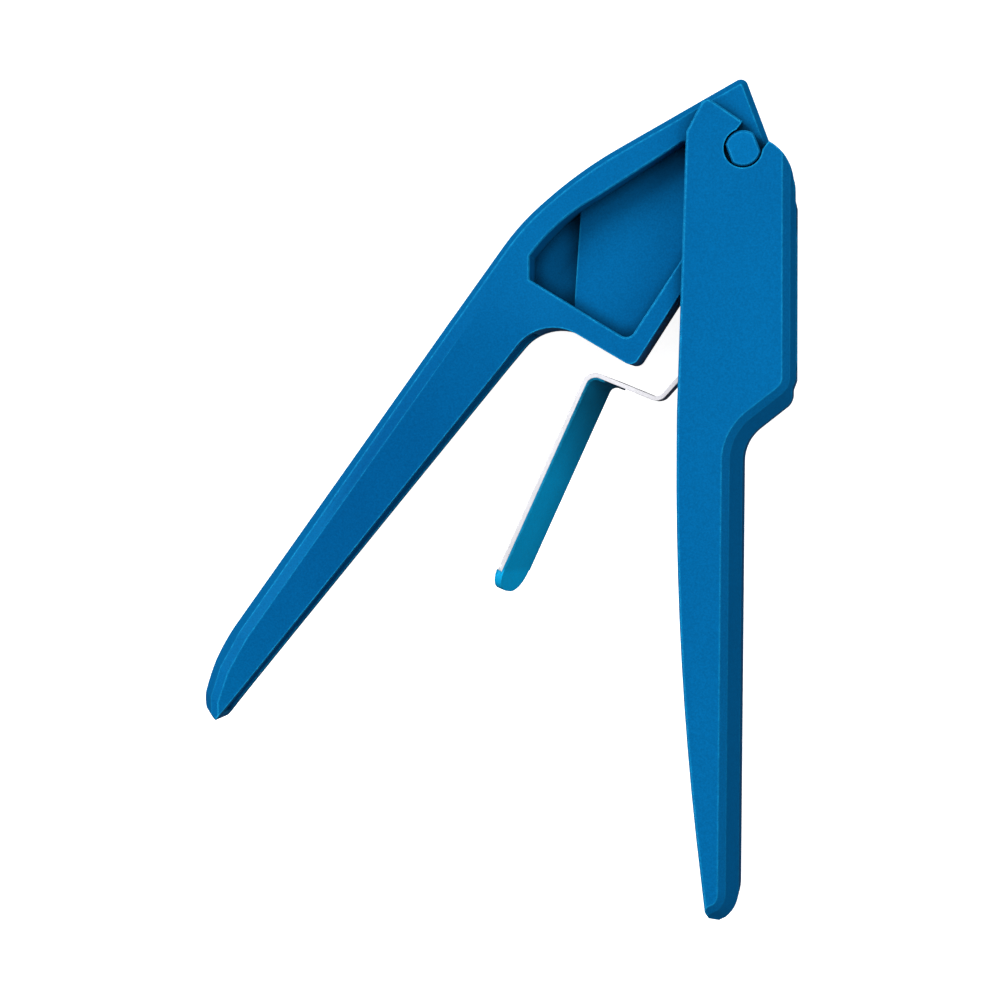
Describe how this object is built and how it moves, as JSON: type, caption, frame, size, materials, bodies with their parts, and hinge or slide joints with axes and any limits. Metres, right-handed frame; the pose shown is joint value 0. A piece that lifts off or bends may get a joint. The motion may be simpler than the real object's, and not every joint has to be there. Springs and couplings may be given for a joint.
{
  "type": "garlic press",
  "caption": "Hand-held garlic press lying open on its side: moulded handles on a quick-release hinge, plunger frame, chamber, and folded sieve strip that swings out as a lever.",
  "frame": {"origin": "centre of the footprint, on the surface the tool lies on", "axes": "+Z along the hinge axis, from the lower cheek to the upper one; +Y along the body handle, from its tip towards the hinge; +X from the press handle towards the back of the body handle"},
  "size_m": [0.1284, 0.1782, 0.026],
  "materials": {
    "handle_plastic": "fine satin moulding, opaque blue",
    "pin_plastic": "fine satin moulding, opaque blue",
    "sieve_steel": "bright stainless sheet",
    "facing_plastic": "smooth thin coating, opaque blue"
  },
  "bodies": {
    "body": {"body_handle": "handle_plastic"},
    "press": {"press_handle": "handle_plastic", "hinge_pin": "pin_plastic"},
    "sieve": {"sieve_insert": "sieve_steel", "lever_facing": "facing_plastic"}
  },
  "joints": [
    {"name": "press_hinge", "type": "hinge", "parent": "body", "child": "press", "pos_m": [0.05317, 0.07417, 0.013], "axis": [0, 0, 1], "range_deg": [-60, 32]},
    {"name": "sieve_swing", "type": "hinge", "parent": "body", "child": "sieve", "pos_m": [0.05317, 0.07417, 0.013], "axis": [0, 0, 1], "range_deg": [-42, 22.4]}
  ],
  "couplings": [
    {"joint": "sieve_swing", "follows": "press_hinge", "ratio": 0.7}
  ]
}
